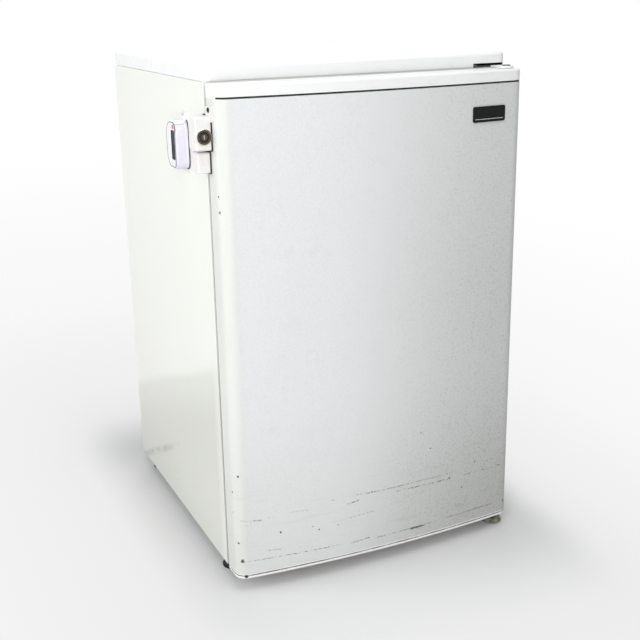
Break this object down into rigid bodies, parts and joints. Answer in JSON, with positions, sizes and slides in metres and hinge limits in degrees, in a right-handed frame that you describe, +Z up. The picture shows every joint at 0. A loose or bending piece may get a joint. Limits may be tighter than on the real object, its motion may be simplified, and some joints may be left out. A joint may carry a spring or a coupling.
{
  "type": "compact refrigerator",
  "caption": "Counter-height compact refrigerator with a bowed white door, side key lock, glass shelves, door bins, crisper drawer, levelling feet and a rear wire condenser.",
  "frame": {"origin": "floor level, under the middle of the overall box", "axes": "+Z up, -Y towards the user in front of the door, +X to the user's right"},
  "size_m": [0.5565, 0.6106, 0.85],
  "materials": {
    "side_enamel": "gloss",
    "zinc_steel": "satin",
    "foam": "matte",
    "liner_white": "gloss",
    "worktop_white": "satin",
    "hinge_steel": "satin",
    "screw_steel": "polished",
    "foot_plastic": "matte",
    "hinge_foot_grey": "matte",
    "compressor_black": "satin",
    "rubber_black": "matte",
    "condenser_black": "matte",
    "copper": "satin",
    "tray_grey": "matte",
    "evaporator_alu": "satin",
    "housing_white": "satin",
    "knob_grey": "satin",
    "lens_clear": "gloss",
    "bulb_glass": "gloss",
    "shelf_glass": "gloss",
    "trim_white": "satin",
    "crisper_clear": "gloss",
    "bin_clear": "gloss",
    "door_enamel": "satin",
    "cap_white": "satin",
    "gasket_white": "matte",
    "bush_nylon": "matte",
    "badge_black": "gloss",
    "lock_white": "satin",
    "lock_chrome": "polished",
    "lock_dark": "satin",
    "bolt_steel": "satin",
    "monitor_case": "satin",
    "monitor_back": "satin",
    "window_dark": "gloss",
    "lamp_red": "gloss"
  },
  "bodies": {
    "cabinet": {"cabinet_wrapper": "side_enamel", "rear_panel": "zinc_steel", "base_pan": "zinc_steel", "cabinet_insulation": "foam", "inner_liner": "liner_white", "worktop": "worktop_white", "top_hinge_leaf": "hinge_steel", "top_hinge_pin": "hinge_steel", "bottom_hinge_bracket": "hinge_steel", "hinge_screws": "screw_steel", "rear_feet": "foot_plastic", "compressor_rail": "zinc_steel", "compressor": "compressor_black", "compressor_grommets": "rubber_black", "start_relay": "foot_plastic", "drip_tray": "tray_grey", "drain_spout": "tray_grey", "discharge_line": "condenser_black", "condenser_tube": "condenser_black", "condenser_wires": "condenser_black", "condenser_clips": "foot_plastic", "filter_drier": "copper", "suction_line": "copper", "cord_gland": "rubber_black", "evaporator_plate": "evaporator_alu", "evaporator_posts": "trim_white", "control_housing": "housing_white", "lamp_lens": "lens_clear", "lamp_bulb": "bulb_glass", "crisper_cover_glass": "shelf_glass", "middle_shelf_glass": "shelf_glass", "upper_shelf_glass": "shelf_glass", "shelf_trims": "trim_white", "crisper_drawer": "crisper_clear", "lock_keeper": "lock_white", "monitor_backplate": "monitor_back", "monitor_case": "monitor_case", "monitor_window": "window_dark", "monitor_lamp": "lamp_red"},
    "door": {"door_panel": "door_enamel", "door_top_cap": "cap_white", "door_bottom_cap": "cap_white", "door_insulation": "foam", "door_liner": "liner_white", "door_gasket": "gasket_white", "hinge_bushes": "bush_nylon", "badge_plate": "badge_black", "lock_case": "lock_white", "lock_barrel": "lock_chrome", "lock_screw": "screw_steel"},
    "lock_plug": {"lock_plug": "lock_dark"},
    "lock_bolt": {"lock_bolt": "bolt_steel"},
    "thermostat_knob": {"thermostat_knob": "knob_grey"},
    "light_rocker": {"light_rocker": "knob_grey"},
    "hinge_foot": {"hinge_foot": "hinge_foot_grey"},
    "left_foot": {"left_foot": "foot_plastic"},
    "lower_door_bin": {"lower_door_bin": "bin_clear"},
    "middle_door_bin": {"middle_door_bin": "bin_clear"},
    "upper_door_bin": {"upper_door_bin": "bin_clear"}
  },
  "joints": [
    {"name": "door_swing", "type": "hinge", "parent": "cabinet", "child": "door", "pos_m": [0.26175, -0.26277, 0.024], "axis": [0, 0, 1], "range_deg": [0, 120]},
    {"name": "lock_turn", "type": "hinge", "parent": "door", "child": "lock_plug", "pos_m": [-0.265, -0.26577, 0.7503], "axis": [0, 1, 0], "range_deg": [0, 90]},
    {"name": "bolt_slide", "type": "slide", "parent": "door", "child": "lock_bolt", "axis": [0, 0, -1], "range_m": [0, 0.0099]},
    {"name": "thermostat_turn", "type": "hinge", "parent": "cabinet", "child": "thermostat_knob", "pos_m": [0.20175, -0.09077, 0.729], "axis": [-1, 0, 0], "range_deg": [0, 270]},
    {"name": "light_rocker_tip", "type": "hinge", "parent": "cabinet", "child": "light_rocker", "pos_m": [0.20715, -0.05477, 0.729], "axis": [0, 1, 0], "range_deg": [-16, 0]},
    {"name": "hinge_foot_screw", "type": "slide", "parent": "cabinet", "child": "hinge_foot", "axis": [0, 0, 1], "range_m": [-0.008, 0.0015]},
    {"name": "left_foot_screw", "type": "slide", "parent": "cabinet", "child": "left_foot", "axis": [0, 0, 1], "range_m": [-0.008, 0.0015]},
    {"name": "lower_bin_lift", "type": "slide", "parent": "door", "child": "lower_door_bin", "axis": [0, 0, 1], "range_m": [0, 0.034]},
    {"name": "middle_bin_lift", "type": "slide", "parent": "door", "child": "middle_door_bin", "axis": [0, 0, 1], "range_m": [0, 0.034]},
    {"name": "upper_bin_lift", "type": "slide", "parent": "door", "child": "upper_door_bin", "axis": [0, 0, 1], "range_m": [0, 0.034]}
  ],
  "couplings": [
    {"joint": "lock_turn", "follows": "bolt_slide", "rad_per_m": 158.67}
  ]
}
